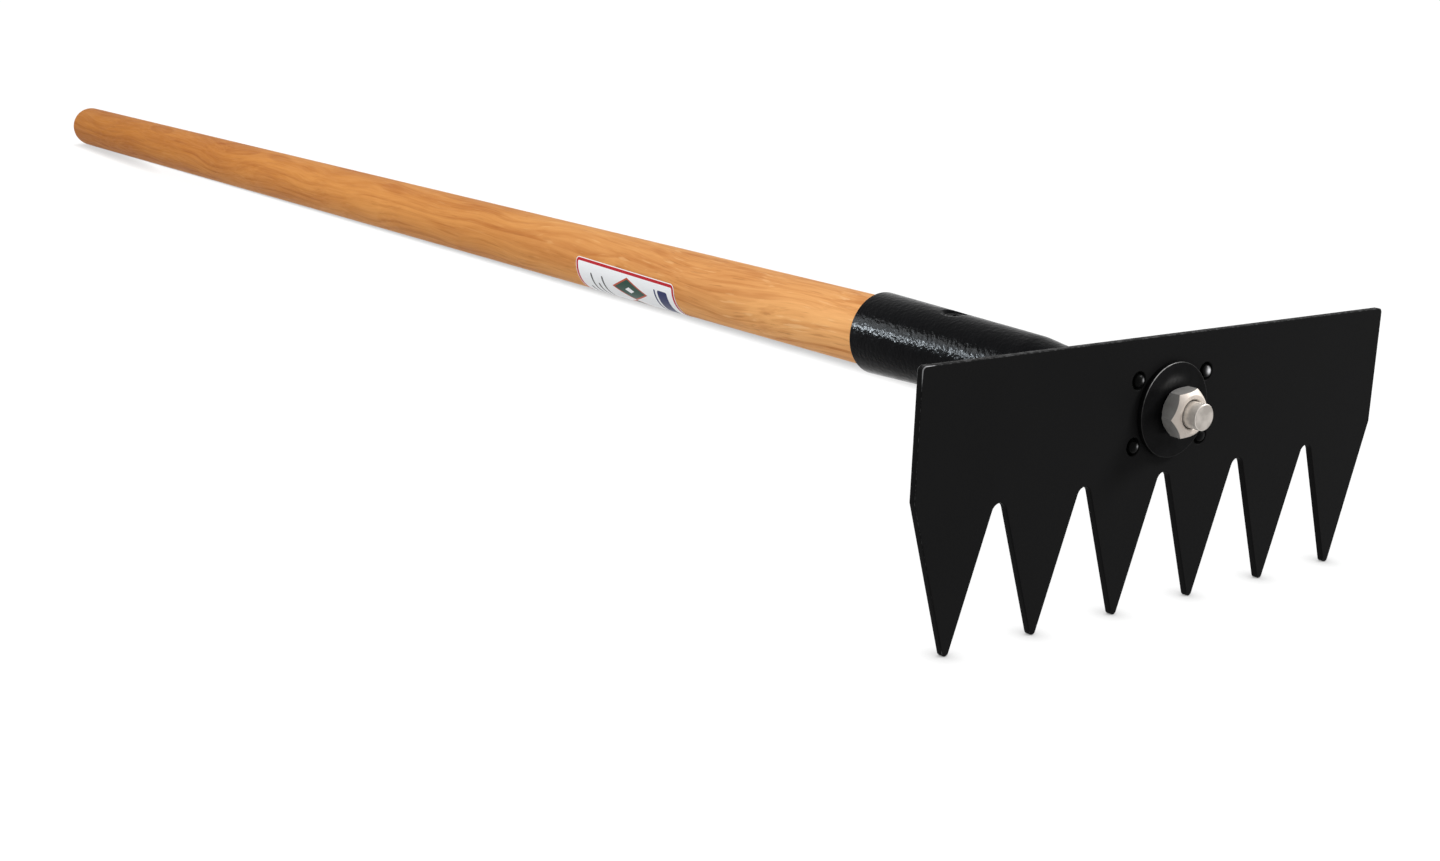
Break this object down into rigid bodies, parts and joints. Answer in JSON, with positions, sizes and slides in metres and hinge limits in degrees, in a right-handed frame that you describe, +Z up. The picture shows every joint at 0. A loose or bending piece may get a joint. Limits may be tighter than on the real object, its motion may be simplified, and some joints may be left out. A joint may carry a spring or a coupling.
{
  "type": "fire rake",
  "caption": "Heavy rake hoe: a toothed flat steel blade clamped by a stud and nut to a tapered socket on a long straight wooden handle.",
  "frame": {"origin": "on the floor, under the middle of the object's box, as it stands on its teeth and on the butt of its handle", "axes": "+Z up, +Y along the handle towards its butt, +X along the row of teeth, to the right as seen from the nut's side"},
  "size_m": [0.3048, 1.4766, 0.127],
  "materials": {
    "black_paint": "semi-gloss black paint, rubbed bright on the edges",
    "black_steel": "black oxide, satin",
    "bright_steel": "bright plated, satin",
    "oiled_wood": "straight-grained hardwood, oiled",
    "label_paper": "printed paper, smooth"
  },
  "bodies": {
    "root": {"rake_blade": "black_paint", "mounting_flange": "black_paint", "locating_pin_1": "bright_steel", "locating_pin_2": "bright_steel", "locating_pin_3": "bright_steel", "locating_pin_4": "bright_steel", "head_stud": "bright_steel", "head_washer": "black_steel", "hex_nut": "bright_steel", "neck_stem": "black_paint", "handle_socket": "black_paint", "flange_weld": "black_paint", "neck_weld": "black_paint", "handle": "oiled_wood", "socket_screw": "black_steel", "handle_label": "label_paper"}
  },
  "joints": []
}
